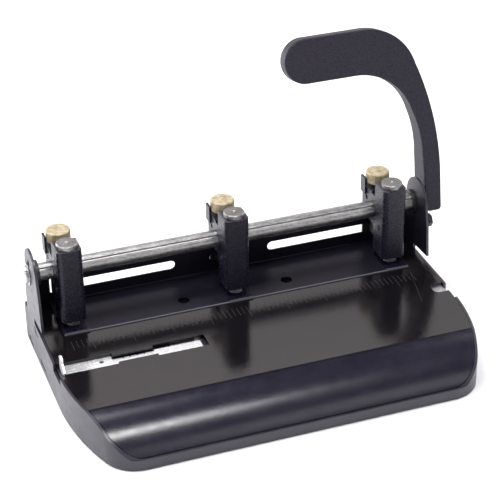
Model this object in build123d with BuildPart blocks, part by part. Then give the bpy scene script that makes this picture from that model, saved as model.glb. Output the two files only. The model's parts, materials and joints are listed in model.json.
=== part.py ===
"""Heavy-duty three hole punch with a swing-over lever and a sliding paper stop.

Millimetres, +Z up, +X to the user's right, +Y to the rear. The origin is on the surface that the punch
stands on, straight below the centre punch pin.
"""
from build123d import *
import os
from math import acos, asin, cos, hypot, pi, radians, sin, sqrt, tan

# --- base: plan outline, table and front roll
HALF_WIDTH = 130.6
WALL = 1.6
FRONT_Y = -125.0
EAR_REAR_Y = 28.0
SIDE_BREAK_Y = -48.0
SIDE_RADIUS = 170.0
CORNER_RADIUS = 22.0
SEAM = 0.3
SKIRT_Z = 0.8
TABLE_TOP = 27.0
TABLE_SHEET = 2.0
TABLE_REAR_Y = 27.7
CREASE_Y = -92.5
BAND_TOP = 7.6
ROLL_RISE = 4.5

# --- non-skid mat and floor pan
MAT = 1.5
MAT_INSET = 4.0
PAN_SHEET = 1.2

# --- punching bridge: bent bridge plate, dies
THROAT_TOP = 32.6
THROAT_Y = 8.0
BRIDGE_SHEET = 0.85
BRIDGE_FRONT_Y = -12.3
BRIDGE_REAR_Y = 28.0
BRIDGE_HALF = 116.2
BRIDGE_TOP = 50.0
CLAMP_SLOT_Z = 38.6
CLAMP_SLOT_HEIGHT = 6.2
CLAMP_SLOT_INNER_X = 31.9
CLAMP_SLOT_OUTER_X = 113.0
SLOT_WINDOW = (112.0, 40.3, 6.4, 10.7)
DIE_BAR = (250.0, 20.0, 8.0)
DIE_HOLE_RADIUS = 3.65
INSERT_RADIUS = 4.7
INSERT_SEAT_RADIUS = 4.75
SPARE_HOLE_RADIUS = 3.75

# --- hole pattern: three holes at 108 mm centres, or two at 70 mm
HOLE_PITCH = 107.95
TWO_HOLE_PITCH = 69.85
PIN_PLACES = (-HOLE_PITCH, -TWO_HOLE_PITCH / 2, 0.0, TWO_HOLE_PITCH / 2, HOLE_PITCH)

# --- drive shaft and its sector pinions
SHAFT_Y = 14.0
SHAFT_Z = 60.4
SHAFT_RADIUS = 5.55
SHAFT_LEFT_X = -133.0
SHOULDER_X = 137.0
SPIGOT_RADIUS = 4.0
SPIGOT_END_X = 147.2
KEYWAY = (1.4, 1.7)
KEYWAY_ANGLE = 47.0
RUNNING_FIT = 0.05
MODULE = 1.25
TEETH = 14
PRESSURE_ANGLE = radians(25.0)
SECTOR_TEETH = 6
HUB_RADIUS = 6.9
PINION_WIDTH = 7.4
PITCH_RADIUS = MODULE * TEETH / 2
TOOTH_PITCH = MODULE * pi
RACK_ADDENDUM = 1.1
RACK_DEDENDUM = 1.35
BACKLASH = 0.12

# --- punch heads
HEAD_HALF_WIDTH = 8.0
FOOT_Z = (27.95, 28.45)
HEAD_TOP = 83.3
COLUMN_FRONT_Y = -7.3
COLUMN_REAR_Y = 8.3
COLUMN_ROUND = 3.5
VALLEY_Z = 72.6
LUG_FRONT_Y = 13.2
LUG_REAR_Y = 28.8
LUG_TOP = 73.6
SPINE_Y = (7.4, 9.4)
CHEEK_BOTTOM = 51.0
HEAD_REAR_Y = 26.8
LUG_BOTTOM = 52.0
RAM_RADIUS = 6.7
RAM_BOTTOM = 53.5
RAM_TOP = 86.1
BORE_FLOOR = 36.0
CUTTER_RADIUS = 3.55
CUTTER_END = 33.0
SLIDE_FIT = 0.08
THUMB_Y = 23.3
THUMB_RADIUS = 7.8
THUMB_Z = (74.9, 83.1)
THUMB_NECK_RADIUS = 4.2
THUMB_SHANK_RADIUS = 1.9
SHOE_TOP = 56.0
SHOE_FLANGE = (7.65, 5.9)

# --- lever
LEVER_TILT = 15.0
LEVER_FRONT = 5.9
FOOT_BACK = 11.0
GRIP_BACK = 2.6
LEVER_INNER_X = 137.2
LEVER_OUTER_X = 149.2
FOOT_OUTER_X = 147.6
FOOT_BOTTOM = -7.7
GRIP_TOP = 119.3
GRIP_LEFT_X = 62.2
GRIP_RADIUS = 14.5
OUTER_BEND = (102.2, 83.3, 36.0)
INNER_BEND = (95.0, 51.9, 38.4)
BEND_SWEEP = 15.0

# --- paper stop
STOP_SLOT_Y = (-52.8, -40.4)
STOP_SLOT_RIGHT_X = -35.2
STOP_LUG_X = (-92.5, -67.5)
STOP_LUG_Y = -50.8
REAR_LUG_X = (-94.5, -68.7)
REAR_LUG_Y = -43.0
NOTCH_Y = (-56.5, -39.4)
NOTCH_DEPTH = 5.0
STRIP_Z = 23.8
STRIP_SHEET = 1.1
STRIP_FRONT_Y = -54.4

# --- chip drawer
DRAWER_HALF_WIDTH = 126.0
DRAWER_FRONT_Y = -20.0
DRAWER_Z = (3.2, 16.0)
DRAWER_WALL = 1.6
DRAWER_FACE_Y = (28.3, 38.6)
DRAWER_FACE_Z = (1.2, 26.0)

INNER_WALL_X = HALF_WIDTH - WALL
BRIDGE_FLAT = TABLE_TOP + BRIDGE_SHEET
WALL_FRONT_Y = BRIDGE_REAR_Y - BRIDGE_SHEET
DIE_TOP = TABLE_TOP - TABLE_SHEET
SHAFT_AXIS = Plane((0, SHAFT_Y, SHAFT_Z), x_dir=(0, 1, 0), z_dir=(1, 0, 0))
LEVER_PLANE = Plane((0, SHAFT_Y, SHAFT_Z), x_dir=(1, 0, 0), z_dir=(0, -1, 0)).rotated((-LEVER_TILT, 0, 0))

os.makedirs("parts", exist_ok=True)


def save(builder, name):
    """Labels a finished piece and writes its STEP file."""
    builder.part.label = name
    export_step(builder.part, f"parts/{name}.step")


def side_plane(x):
    """The plane across the punch at x, with Y along its first axis and Z along its second."""
    return Plane((x, 0, 0), x_dir=(0, 1, 0), z_dir=(1, 0, 0))


def block(x, y, z, mode=Mode.ADD):
    """A box between two values on each axis."""
    size = (x[1] - x[0], y[1] - y[0], z[1] - z[0])
    with Locations(((x[0] + x[1]) / 2, (y[0] + y[1]) / 2, (z[0] + z[1]) / 2)):
        Box(*size, mode=mode)


def pin_holes(top, depth):
    """Cuts seats for the three die inserts, and plain holes where two holes are punched."""
    with BuildSketch(Plane.XY.offset(top)) as holes:
        for x in PIN_PLACES:
            with Locations((x, 0)):
                Circle(SPARE_HOLE_RADIUS if abs(x) == TWO_HOLE_PITCH / 2 else INSERT_SEAT_RADIUS)
    extrude(holes.sketch, amount=-depth, mode=Mode.SUBTRACT)


def base_outline(inset, rear_y):
    """Plan of the base: straight sides that bow inwards towards two rounded front corners."""
    half = HALF_WIDTH - inset
    front = FRONT_Y + inset
    bow = SIDE_RADIUS - inset
    turn = asin((front - SIDE_BREAK_Y) / bow)
    middle = (half - bow + bow * cos(turn / 2), SIDE_BREAK_Y + bow * sin(turn / 2))
    corner = (half - bow + bow * cos(turn), front)
    with BuildSketch() as outline:
        with BuildLine():
            Line((half, rear_y), (half, SIDE_BREAK_Y))
            ThreePointArc((half, SIDE_BREAK_Y), middle, corner)
            Line(corner, (-corner[0], front))
            ThreePointArc((-corner[0], front), (-middle[0], middle[1]), (-half, SIDE_BREAK_Y))
            Line((-half, SIDE_BREAK_Y), (-half, rear_y))
            Line((-half, rear_y), (half, rear_y))
        make_face()
        fillet(outline.vertices().group_by(Axis.Y)[0], CORNER_RADIUS - inset)
    return outline.sketch


# The front roll is one arc from the crease down to the top of the front band.
ROLL_START = (CREASE_Y, TABLE_TOP)
ROLL_END = (FRONT_Y + WALL, BAND_TOP)
ROLL_CHORD = hypot(ROLL_END[0] - ROLL_START[0], ROLL_END[1] - ROLL_START[1])
ROLL_RADIUS = (ROLL_CHORD**2 / 4 + ROLL_RISE**2) / (2 * ROLL_RISE)
ROLL_NORMAL = ((ROLL_END[1] - ROLL_START[1]) / ROLL_CHORD, (ROLL_START[0] - ROLL_END[0]) / ROLL_CHORD)


def roll_point(along, drop=0.0):
    """A point of the roll, from 0 at the crease through 0.5 to 1 at the band, drop below its surface."""
    depth = ROLL_RADIUS - ROLL_RISE
    centre_y = (ROLL_START[0] + ROLL_END[0]) / 2 - ROLL_NORMAL[0] * depth
    centre_z = (ROLL_START[1] + ROLL_END[1]) / 2 - ROLL_NORMAL[1] * depth
    half_angle = asin(ROLL_CHORD / 2 / ROLL_RADIUS)
    angle = (1 - 2 * along) * half_angle
    reach = ROLL_RADIUS - drop
    across = (ROLL_NORMAL[1], -ROLL_NORMAL[0])
    y = centre_y + reach * (cos(angle) * ROLL_NORMAL[0] + sin(angle) * across[0])
    z = centre_z + reach * (cos(angle) * ROLL_NORMAL[1] + sin(angle) * across[1])
    return (y, z)


# ---------------------------------------------------------------- base
EAR_TIP = (-12.5, 32.6)
EAR_FRONT = ((-10.8, 52.0), (-7.5, 68.5))
EAR_CROWN = (7.5, 80.5)
EAR_REAR = ((21.5, 69.0), (27.2, 45.0))
WALL_SLOTS = ((5.5, 22.6, 8.0, 5.0), (-8.0, 6.0, 13.0, 2.8), (23.0, 5.0, 9.0, 4.4))
STOP_BOLT = (2.6, 50.6)
EAR_HOLE = (10.0, 70.5)
BUSHING_SEAT_RADIUS = 6.6

with BuildPart() as side_frame:
    with BuildSketch(Plane.XY.offset(SKIRT_Z)):
        add(base_outline(0, EAR_REAR_Y))
        add(base_outline(WALL, EAR_REAR_Y + WALL), mode=Mode.SUBTRACT)
    extrude(amount=EAR_CROWN[1])
    # the side view: front band, roll, table edge, paper throat and rear ear
    with BuildSketch(side_plane(0)):
        with BuildLine():
            Polyline((EAR_REAR_Y, SKIRT_Z), (FRONT_Y - 1, SKIRT_Z), (FRONT_Y - 1, BAND_TOP), roll_point(1))
            ThreePointArc(roll_point(1), roll_point(0.5), roll_point(0))
            Polyline(roll_point(0), (THROAT_Y, TABLE_TOP), (THROAT_Y, THROAT_TOP - 1.4), EAR_TIP)
            Polyline(EAR_TIP, EAR_FRONT[0], EAR_FRONT[1])
            ThreePointArc(EAR_FRONT[1], EAR_CROWN, EAR_REAR[0])
            Polyline(EAR_REAR[0], EAR_REAR[1], (EAR_REAR_Y, 36), (EAR_REAR_Y, SKIRT_Z))
        make_face()
    extrude(amount=HALF_WIDTH + 1, both=True, mode=Mode.INTERSECT)
    # a notch in each side wall where the paper stop runs out
    for side in (-1, 1):
        walls = sorted((side * (INNER_WALL_X - 1), side * (HALF_WIDTH + 1)))
        block(walls, NOTCH_Y, (TABLE_TOP - NOTCH_DEPTH, TABLE_TOP + 1), Mode.SUBTRACT)
    # slots for the tabs of the parts inside, and the seats of the shaft bushings
    with BuildSketch(side_plane(0)):
        for y, z, length, height in WALL_SLOTS:
            with Locations((y, z)):
                RectangleRounded(length, height, 0.8)
        with Locations((SHAFT_Y, SHAFT_Z)):
            Circle(BUSHING_SEAT_RADIUS)
    extrude(amount=HALF_WIDTH + 1, both=True, mode=Mode.SUBTRACT)
    with BuildSketch(side_plane(-HALF_WIDTH - 1)):
        with Locations(EAR_HOLE):
            Circle(2.2)
    extrude(amount=WALL + 2, mode=Mode.SUBTRACT)
    with BuildSketch(side_plane(HALF_WIDTH + 1)):
        with Locations(STOP_BOLT):
            Circle(2.1)
    extrude(amount=-WALL - 2, mode=Mode.SUBTRACT)
save(side_frame, "side_frame")

THUMB_NOTCH_X = 119.3
THUMB_NOTCH_Y = (-47.8, -37.2)

with BuildPart() as table_plate:
    with BuildSketch(Plane.XY):
        add(base_outline(WALL + SEAM, TABLE_REAR_Y))
    extrude(amount=TABLE_TOP + 5)
    # the sheet seen from the side: flat, then rolled down to the front band
    with BuildSketch(side_plane(0)):
        with BuildLine():
            Line((TABLE_REAR_Y, TABLE_TOP), roll_point(0))
            ThreePointArc(roll_point(0), roll_point(0.5), roll_point(1))
            Line(roll_point(1), roll_point(1, TABLE_SHEET))
            ThreePointArc(roll_point(1, TABLE_SHEET), roll_point(0.5, TABLE_SHEET), roll_point(0, TABLE_SHEET))
            Polyline(roll_point(0, TABLE_SHEET), (TABLE_REAR_Y, TABLE_TOP - TABLE_SHEET),
                     (TABLE_REAR_Y, TABLE_TOP))
        make_face()
    extrude(amount=HALF_WIDTH, both=True, mode=Mode.INTERSECT)
    # the paper stop's slot, open at the left wall, with two lugs that keep the strip down
    with BuildSketch(Plane.XY.offset(TABLE_TOP + 1)):
        with BuildLine():
            Polyline((-HALF_WIDTH, STOP_SLOT_Y[0]), (STOP_LUG_X[0], STOP_SLOT_Y[0]),
                     (STOP_LUG_X[0], STOP_LUG_Y), (STOP_LUG_X[1], STOP_LUG_Y),
                     (STOP_LUG_X[1], STOP_SLOT_Y[0]), (STOP_SLOT_RIGHT_X, STOP_SLOT_Y[0]),
                     (STOP_SLOT_RIGHT_X, STOP_SLOT_Y[1]), (REAR_LUG_X[1], STOP_SLOT_Y[1]),
                     (REAR_LUG_X[1], REAR_LUG_Y), (REAR_LUG_X[0], REAR_LUG_Y),
                     (REAR_LUG_X[0], STOP_SLOT_Y[1]), (-HALF_WIDTH, STOP_SLOT_Y[1]), close=True)
        make_face()
    extrude(amount=-TABLE_SHEET - 2, mode=Mode.SUBTRACT)
    # the finger notch at the right edge, rounded at its inner end
    with BuildSketch(Plane.XY.offset(TABLE_TOP + 1)) as finger_notch:
        with Locations(((THUMB_NOTCH_X + HALF_WIDTH) / 2, sum(THUMB_NOTCH_Y) / 2)):
            Rectangle(HALF_WIDTH - THUMB_NOTCH_X, THUMB_NOTCH_Y[1] - THUMB_NOTCH_Y[0])
        fillet(finger_notch.vertices().group_by(Axis.X)[0], 3.5)
    extrude(amount=-TABLE_SHEET - 2, mode=Mode.SUBTRACT)
    pin_holes(TABLE_TOP + 1, TABLE_SHEET + 2)
save(table_plate, "table_plate")

with BuildPart() as base_mat:
    with BuildSketch(Plane.XY):
        add(base_outline(MAT_INSET, EAR_REAR_Y - MAT_INSET))
    extrude(amount=MAT)
    chamfer(base_mat.faces().sort_by(Axis.Z)[0].edges(), 0.4)
save(base_mat, "base_mat")

PAN_FLANGE_X = (127.4, 128.6)
PAN_FLANGE_Y = (-40.0, 27.0)
PAN_FLANGE_TOP = 11.0
TAB_PLAY = 0.3

with BuildPart() as base_pan:
    with BuildSketch(Plane.XY.offset(MAT)):
        add(base_outline(WALL + SEAM, EAR_REAR_Y - SEAM))
    extrude(amount=PAN_SHEET)
    # upturned flanges along the sides, with tabs that stand in the walls' lower slots
    for side in (-1, 1):
        flange = sorted(side * x for x in PAN_FLANGE_X)
        block(flange, PAN_FLANGE_Y, (MAT, PAN_FLANGE_TOP))
        tab = sorted((side * PAN_FLANGE_X[0], side * (HALF_WIDTH - TAB_PLAY)))
        for y, z, length, height in WALL_SLOTS[1:]:
            reach = length / 2 - TAB_PLAY
            rise = height / 2 - TAB_PLAY
            block(tab, (y - reach, y + reach), (z - rise, z + rise))
save(base_pan, "base_pan")

# ---------------------------------------------------------------- punching bridge
CENTRE_SLOT_HALF = HEAD_HALF_WIDTH + 0.3

# One bent sheet: the flat part lies on the table under the heads, the upright part is the rear wall.
with BuildPart() as bridge_plate:
    block((-INNER_WALL_X, INNER_WALL_X), (WALL_FRONT_Y, BRIDGE_REAR_Y), (TABLE_TOP, BRIDGE_TOP))
    block((-BRIDGE_HALF, BRIDGE_HALF), (BRIDGE_FRONT_Y, WALL_FRONT_Y), (TABLE_TOP, BRIDGE_FLAT))
    pin_holes(TABLE_TOP + 2, 3)
    with BuildSketch(Plane.XZ.offset(-BRIDGE_REAR_Y - 1)):
        for side in (-1, 1):
            with Locations((side * (CLAMP_SLOT_INNER_X + CLAMP_SLOT_OUTER_X) / 2, CLAMP_SLOT_Z)):
                SlotOverall(CLAMP_SLOT_OUTER_X - CLAMP_SLOT_INNER_X, CLAMP_SLOT_HEIGHT)
            # the taller window where a head's clamp shoe is put in
            with Locations((side * SLOT_WINDOW[0], SLOT_WINDOW[1])):
                RectangleRounded(SLOT_WINDOW[2], SLOT_WINDOW[3], 1.0)
        with Locations((0, CLAMP_SLOT_Z)):
            SlotOverall(2 * CENTRE_SLOT_HALF, CLAMP_SLOT_HEIGHT)
    extrude(amount=BRIDGE_SHEET + 2, mode=Mode.SUBTRACT)
    fillet(bridge_plate.edges().filter_by(Axis.X).group_by(Axis.Y)[0].sort_by(Axis.Z)[-1], 0.4)
    bend_point = (0, WALL_FRONT_Y, BRIDGE_FLAT)
    fillet(bridge_plate.edges().filter_by(Axis.X).sort_by_distance(bend_point)[0], 1.0)
save(bridge_plate, "bridge_plate")

DIE_RELIEF = (4.6, 4.5)
DIE_TAB_Z = (20.5, 24.7)

with BuildPart() as die_bar:
    block((-DIE_BAR[0] / 2, DIE_BAR[0] / 2), (-DIE_BAR[1] / 2, DIE_BAR[1] / 2), (DIE_TOP - DIE_BAR[2], DIE_TOP))
    # end tabs that stand in the walls' upper slots
    tab_y, _, tab_length, _ = WALL_SLOTS[0]
    tab_reach = tab_length / 2 - TAB_PLAY
    block((-HALF_WIDTH + TAB_PLAY, HALF_WIDTH - TAB_PLAY), (tab_y - tab_reach, tab_y + tab_reach), DIE_TAB_Z)
    # seats for the die inserts; every hole widens below its cutting land, so that chips fall free
    with BuildSketch(Plane.XY.offset(DIE_TOP)):
        with Locations([(x, 0) for x in PIN_PLACES]):
            Circle(DIE_HOLE_RADIUS)
    extrude(amount=-DIE_BAR[2], mode=Mode.SUBTRACT)
    with BuildSketch(Plane.XY.offset(DIE_TOP)):
        with Locations([(x, 0) for x in PIN_PLACES[::2]]):
            Circle(INSERT_SEAT_RADIUS)
    extrude(amount=DIE_RELIEF[1] - DIE_BAR[2], mode=Mode.SUBTRACT)
    with BuildSketch(Plane.XY.offset(DIE_TOP - DIE_BAR[2])):
        with Locations([(x, 0) for x in PIN_PLACES]):
            Circle(DIE_RELIEF[0])
    extrude(amount=DIE_RELIEF[1], mode=Mode.SUBTRACT)
save(die_bar, "die_bar")

# ---------------------------------------------------------------- chip drawer
PULL = (90.0, 12.0, 4.0)

with BuildPart() as chip_drawer:
    tray_x = (-DRAWER_HALF_WIDTH, DRAWER_HALF_WIDTH)
    block(tray_x, (DRAWER_FRONT_Y, DRAWER_FACE_Y[0]), DRAWER_Z)
    block((-HALF_WIDTH, HALF_WIDTH), DRAWER_FACE_Y, DRAWER_FACE_Z)
    fillet(chip_drawer.edges().filter_by(Axis.Z).group_by(Axis.Y)[-1], 2.0)
    fillet(chip_drawer.faces().sort_by(Axis.Z)[-1].edges().filter_by(Axis.X).sort_by(Axis.Y)[-1], 1.0)
    block((tray_x[0] + DRAWER_WALL, tray_x[1] - DRAWER_WALL),
          (DRAWER_FRONT_Y + DRAWER_WALL, DRAWER_FACE_Y[0] - DRAWER_WALL),
          (DRAWER_Z[0] + DRAWER_WALL, DRAWER_Z[1] + 1), Mode.SUBTRACT)
    # finger pull in the rear face
    pull_z = sum(DRAWER_FACE_Z) / 2
    block((-PULL[0] / 2, PULL[0] / 2), (DRAWER_FACE_Y[1] - PULL[2], DRAWER_FACE_Y[1] + 1),
          (pull_z - PULL[1] / 2, pull_z + PULL[1] / 2), Mode.SUBTRACT)
save(chip_drawer, "chip_drawer")

# ---------------------------------------------------------------- drive shaft and its fittings
CLIP_GROOVE = (-131.6, -130.8, 4.5)

with BuildPart() as drive_shaft:
    with BuildSketch(SHAFT_AXIS.offset(SHAFT_LEFT_X)):
        Circle(SHAFT_RADIUS)
    extrude(amount=SHOULDER_X - SHAFT_LEFT_X)
    with BuildSketch(SHAFT_AXIS.offset(SHOULDER_X)):
        Circle(SPIGOT_RADIUS)
    extrude(amount=SPIGOT_END_X - SHOULDER_X)
    chamfer(drive_shaft.faces().filter_by(Axis.X).sort_by(Axis.X)[0].edges(), 0.6)
    # the keyway runs the whole length and faces forwards and up
    with BuildSketch(SHAFT_AXIS.offset(SHAFT_LEFT_X).rotated((180 - KEYWAY_ANGLE, 0, 0))):
        with Locations((SHAFT_RADIUS, 0)):
            Rectangle(2 * KEYWAY[1], KEYWAY[0])
    extrude(amount=SHOULDER_X - SHAFT_LEFT_X, mode=Mode.SUBTRACT)
    with BuildSketch(SHAFT_AXIS.offset(CLIP_GROOVE[0])):
        Circle(SHAFT_RADIUS + 1)
        Circle(CLIP_GROOVE[2], mode=Mode.SUBTRACT)
    extrude(amount=CLIP_GROOVE[1] - CLIP_GROOVE[0], mode=Mode.SUBTRACT)
save(drive_shaft, "drive_shaft")

BUSHING_FLANGE_RADIUS = 8.0

for side, name, flange in ((-1, "left", 4.5), (1, "right", 1.6)):
    with BuildPart() as shaft_bushing:
        with BuildSketch(SHAFT_AXIS.offset(side * (INNER_WALL_X - flange))):
            Circle(BUSHING_FLANGE_RADIUS)
        extrude(amount=side * flange)
        with BuildSketch(SHAFT_AXIS.offset(side * INNER_WALL_X)):
            Circle(BUSHING_SEAT_RADIUS - 0.05)
        extrude(amount=side * WALL)
        with BuildSketch(SHAFT_AXIS.offset(side * HALF_WIDTH)):
            Circle(SHAFT_RADIUS + RUNNING_FIT)
        extrude(amount=-side * (WALL + flange), mode=Mode.SUBTRACT)
    save(shaft_bushing, f"shaft_bushing_{name}")

with BuildPart() as shaft_clip:
    with BuildSketch(SHAFT_AXIS.offset(CLIP_GROOVE[0] + 0.1)):
        Circle(7.4)
        Circle(CLIP_GROOVE[2] + 0.1, mode=Mode.SUBTRACT)
        # the open side of the clip faces down
        with Locations((0, -6)):
            Rectangle(6, 8, mode=Mode.SUBTRACT)
    extrude(amount=CLIP_GROOVE[1] - CLIP_GROOVE[0] - 0.2)
save(shaft_clip, "shaft_clip")

with BuildPart() as shaft_spacer:
    with BuildSketch(SHAFT_AXIS.offset(HALF_WIDTH + 0.3)):
        Circle(8.5)
        Circle(SHAFT_RADIUS + RUNNING_FIT, mode=Mode.SUBTRACT)
    extrude(amount=SHOULDER_X - HALF_WIDTH - 0.4)
save(shaft_spacer, "shaft_spacer")

# ---------------------------------------------------------------- lever
SCREW_RADIUS = 2.0


def bend_point(bend, angle):
    """A point on one of the lever's two round bends, at an angle up from the +X direction."""
    x, s, radius = bend
    return (x + radius * cos(radians(angle)), s + radius * sin(radians(angle)))


with BuildPart() as handle_lever:
    # the face of the lever: a narrow foot, a widening arm and a broad grip turned to the left
    with BuildSketch(LEVER_PLANE) as lever_face:
        with BuildLine():
            Line((LEVER_INNER_X, FOOT_BOTTOM), (FOOT_OUTER_X, FOOT_BOTTOM))
            Line((FOOT_OUTER_X, FOOT_BOTTOM), (LEVER_OUTER_X, 20))
            ThreePointArc((LEVER_OUTER_X, 20), (146.2, 60), bend_point(OUTER_BEND, BEND_SWEEP))
            ThreePointArc(bend_point(OUTER_BEND, BEND_SWEEP), bend_point(OUTER_BEND, 52),
                          bend_point(OUTER_BEND, 90))
            Line(bend_point(OUTER_BEND, 90), (GRIP_LEFT_X, GRIP_TOP))
            ThreePointArc((GRIP_LEFT_X, GRIP_TOP), (GRIP_LEFT_X - GRIP_RADIUS, GRIP_TOP - GRIP_RADIUS),
                          (GRIP_LEFT_X, GRIP_TOP - 2 * GRIP_RADIUS))
            Line((GRIP_LEFT_X, GRIP_TOP - 2 * GRIP_RADIUS), bend_point(INNER_BEND, 90))
            ThreePointArc(bend_point(INNER_BEND, 90), bend_point(INNER_BEND, 52),
                          bend_point(INNER_BEND, BEND_SWEEP))
            ThreePointArc(bend_point(INNER_BEND, BEND_SWEEP), (135.6, 50), (LEVER_INNER_X, 32))
            Line((LEVER_INNER_X, 32), (LEVER_INNER_X, FOOT_BOTTOM))
        make_face()
        fillet(lever_face.vertices().group_by(Axis.Z)[0], 2.5)
    extrude(amount=LEVER_FRONT)
    extrude(lever_face.sketch, amount=-FOOT_BACK)
    # the side of the lever tapers from a thick foot to a thinner grip
    with BuildSketch(SHAFT_AXIS.rotated((-LEVER_TILT, 0, 0))):
        with BuildLine():
            Polyline((-LEVER_FRONT, FOOT_BOTTOM - 1), (FOOT_BACK, FOOT_BOTTOM - 1), (FOOT_BACK, 10),
                     (GRIP_BACK, 88), (GRIP_BACK, GRIP_TOP + 1), (-LEVER_FRONT, GRIP_TOP + 1), close=True)
        make_face()
    extrude(amount=LEVER_OUTER_X + 1, mode=Mode.INTERSECT)
    fillet(handle_lever.faces().sort_by(Axis((0, 0, 0), tuple(LEVER_PLANE.z_dir)))[-1].edges(), 1.0)
    with BuildSketch(SHAFT_AXIS.offset(SHOULDER_X)):
        Circle(SPIGOT_RADIUS + RUNNING_FIT)
    extrude(amount=LEVER_OUTER_X - SHOULDER_X + 1, mode=Mode.SUBTRACT)
    # the set screw's hole, from the back of the foot to the shaft
    with BuildSketch(LEVER_PLANE.offset(-FOOT_BACK - 1)):
        with Locations(((LEVER_INNER_X + LEVER_OUTER_X) / 2, 0)):
            Circle(SCREW_RADIUS + RUNNING_FIT)
    extrude(amount=FOOT_BACK + 1 - SPIGOT_RADIUS / 2, mode=Mode.SUBTRACT)
save(handle_lever, "handle_lever")

with BuildPart() as handle_set_screw:
    with BuildSketch(LEVER_PLANE.offset(-FOOT_BACK + 0.6)) as screw_end:
        with Locations(((LEVER_INNER_X + LEVER_OUTER_X) / 2, 0)):
            Circle(SCREW_RADIUS)
    extrude(amount=FOOT_BACK - 0.6 - SPIGOT_RADIUS - 0.05)
    with BuildSketch(LEVER_PLANE.offset(-FOOT_BACK + 0.6)):
        with Locations(((LEVER_INNER_X + LEVER_OUTER_X) / 2, 0)):
            RegularPolygon(1.1, 6)
    extrude(amount=1.8, mode=Mode.SUBTRACT)
save(handle_set_screw, "handle_set_screw")

STOP_BOLT_HEAD = (135.4, 2.6, 4.4)

with BuildPart() as handle_stop_bolt:
    with BuildSketch(side_plane(INNER_WALL_X)):
        with Locations(STOP_BOLT):
            Circle(2.05)
    extrude(amount=STOP_BOLT_HEAD[0] - INNER_WALL_X)
    with BuildSketch(side_plane(HALF_WIDTH)):
        with Locations(STOP_BOLT):
            RegularPolygon(3.8, 6)
    extrude(amount=2.6)
    with BuildSketch(side_plane(STOP_BOLT_HEAD[0])):
        with Locations(STOP_BOLT):
            RegularPolygon(STOP_BOLT_HEAD[2], 6)
    extrude(amount=STOP_BOLT_HEAD[1])
save(handle_stop_bolt, "handle_stop_bolt")

# ---------------------------------------------------------------- punch heads
BASE_RADIUS = PITCH_RADIUS * cos(PRESSURE_ANGLE)
TIP_RADIUS = PITCH_RADIUS + MODULE
ROOT_RADIUS = HUB_RADIUS + 0.1
TOOTH_STEP = 360 / TEETH
FIRST_TOOTH = 180 + TOOTH_STEP / 2
CHAMBER_HALF = PINION_WIDTH / 2 + 0.2
SIDE_HOLE = (21.5, 65.6)
SIDE_SCREW = (2.9, 52.0)
SHOE_FRONT_Y = 20.8


def involute(angle):
    """How far an involute has turned at the given pressure angle, in radians."""
    return tan(angle) - angle


def half_tooth(radius):
    """Half of a pinion tooth's width at a radius, as an angle in radians."""
    at_pitch = pi / 2 / TEETH - BACKLASH / 2 / PITCH_RADIUS
    return at_pitch + involute(PRESSURE_ANGLE) - involute(acos(min(1, BASE_RADIUS / radius)))


def pinion_tooth(middle):
    """One involute tooth whose middle is at an angle, in degrees, in the plane across the shaft."""
    radii = [BASE_RADIUS + (TIP_RADIUS - BASE_RADIUS) * step / 4 for step in range(5)]
    flank = [(radius, half_tooth(radius)) for radius in radii]
    flank = [(ROOT_RADIUS - 0.6, half_tooth(BASE_RADIUS))] + flank
    sides = [(r, -turn) for r, turn in flank] + [(r, turn) for r, turn in reversed(flank)]
    points = [(r * cos(radians(middle) + turn), r * sin(radians(middle) + turn)) for r, turn in sides]
    with BuildSketch() as tooth:
        with BuildLine():
            Polyline(*points, close=True)
        make_face()
    return tooth.sketch


def make_pinion(x, name):
    """The keyed sector pinion that turns with the shaft and drives the pin's rack."""
    with BuildPart() as drive_pinion:
        with BuildSketch(SHAFT_AXIS.offset(x - PINION_WIDTH / 2)):
            Circle(HUB_RADIUS)
            for tooth in range(SECTOR_TEETH):
                add(pinion_tooth(FIRST_TOOTH - tooth * TOOTH_STEP))
            Circle(SHAFT_RADIUS + RUNNING_FIT, mode=Mode.SUBTRACT)
        extrude(amount=PINION_WIDTH)
        with BuildSketch(SHAFT_AXIS.offset(x - PINION_WIDTH / 2).rotated((180 - KEYWAY_ANGLE, 0, 0))):
            with Locations((SHAFT_RADIUS, 0)):
                Rectangle(2 * KEYWAY[1] - 0.3, KEYWAY[0] - 0.2)
            Circle(HUB_RADIUS - 0.5, mode=Mode.INTERSECT)
        extrude(amount=PINION_WIDTH)
    save(drive_pinion, f"drive_pinion_{name}")


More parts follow.
